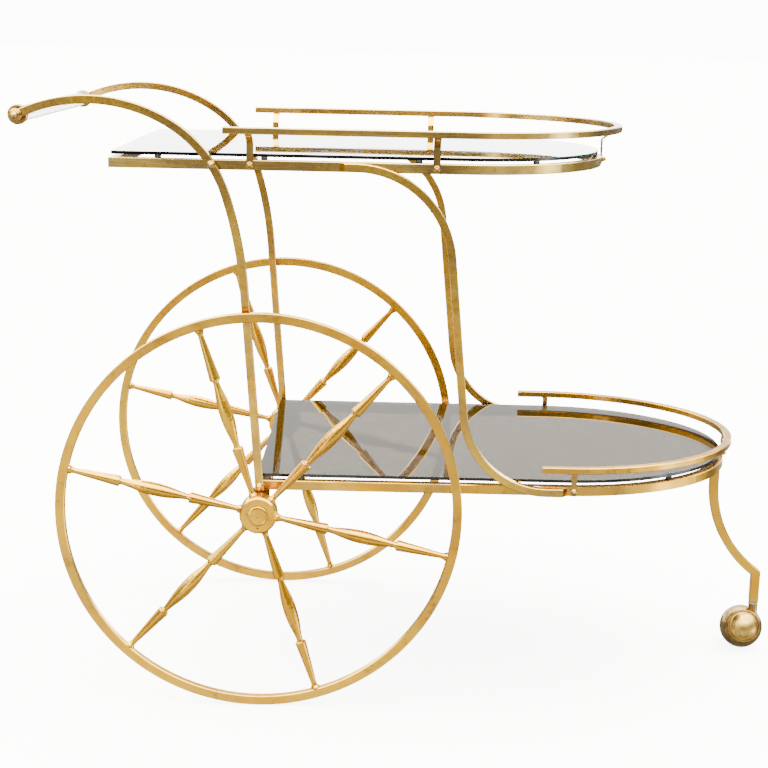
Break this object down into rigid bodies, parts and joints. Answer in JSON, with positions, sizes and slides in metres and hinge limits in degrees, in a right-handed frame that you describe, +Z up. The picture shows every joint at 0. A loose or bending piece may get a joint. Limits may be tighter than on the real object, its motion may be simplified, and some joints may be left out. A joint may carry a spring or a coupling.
{
  "type": "bar cart",
  "caption": "Two-tier bar cart: rounded brass frames with smoked glass shelves and rails, bowed arms with a clear grip, spoked rear wheels and a hooded ball caster.",
  "frame": {"origin": "on the floor, under the middle of the cart's bounding box", "axes": "+X forward from the handle to the ball caster, +Y to the cart's left, +Z up"},
  "size_m": [0.9868, 0.504, 0.7518],
  "materials": {
    "brass": "polished, finely brushed and lightly tarnished",
    "smoked_glass": "grey-brown tint, polished faces and ground edges",
    "pad_rubber": "matt black",
    "clear_acrylic": "clear and polished",
    "nylon": "natural white",
    "aged_brass": "bronze brown, mottled and worn bright at the edges",
    "tread_rubber": "matt black",
    "dark_collar": "satin black",
    "steel": "turned"
  },
  "bodies": {
    "frame": {"top_frame": "brass", "top_crossbar": "brass", "top_glass": "smoked_glass", "top_glass_pads": "pad_rubber", "top_rail": "brass", "top_rail_posts": "brass", "lower_frame": "brass", "lower_crossbar": "brass", "lower_glass": "smoked_glass", "lower_glass_pads": "pad_rubber", "lower_rail": "brass", "lower_rail_posts": "brass", "rail_screws": "brass", "post_bolts": "brass", "post_cap_nuts": "brass", "arm_left": "brass", "arm_right": "brass", "arm_bolts": "brass", "arm_cap_nuts": "brass", "brace_left": "brass", "brace_right": "brass", "handle_grip": "clear_acrylic", "handle_tie_rod": "brass", "grip_ferrules": "brass", "handle_cap_nuts": "brass", "axle_hangers": "brass", "axle": "brass", "axle_spacers": "brass", "axle_washers": "brass", "axle_nuts": "brass", "front_leg": "brass", "leg_collar": "dark_collar"},
    "wheel_left": {"rim_left": "brass", "spokes_left": "brass", "hub_left": "brass", "bush_left": "nylon", "hub_cap_left": "brass"},
    "wheel_right": {"rim_right": "brass", "spokes_right": "brass", "hub_right": "brass", "bush_right": "nylon", "hub_cap_right": "brass"},
    "caster": {"caster_stem": "steel", "caster_hood": "aged_brass", "caster_cap": "aged_brass", "caster_pin": "steel"},
    "caster_wheel": {"caster_wheel": "aged_brass", "caster_tread": "tread_rubber"}
  },
  "joints": [
    {"name": "left_wheel_spin", "type": "hinge", "parent": "frame", "child": "wheel_left", "pos_m": [-0.1911, 0.236, 0.25], "axis": [0, 1, 0], "continuous": true},
    {"name": "right_wheel_spin", "type": "hinge", "parent": "frame", "child": "wheel_right", "pos_m": [-0.1911, -0.236, 0.25], "axis": [0, 1, 0], "continuous": true},
    {"name": "caster_swivel", "type": "hinge", "parent": "frame", "child": "caster", "pos_m": [0.4784, 0, 0.08], "axis": [0, 0, 1], "continuous": true},
    {"name": "ball_spin", "type": "hinge", "parent": "caster", "child": "caster_wheel", "pos_m": [0.4639, 0, 0.0295], "axis": [0, -0.9397, 0.342], "continuous": true}
  ]
}
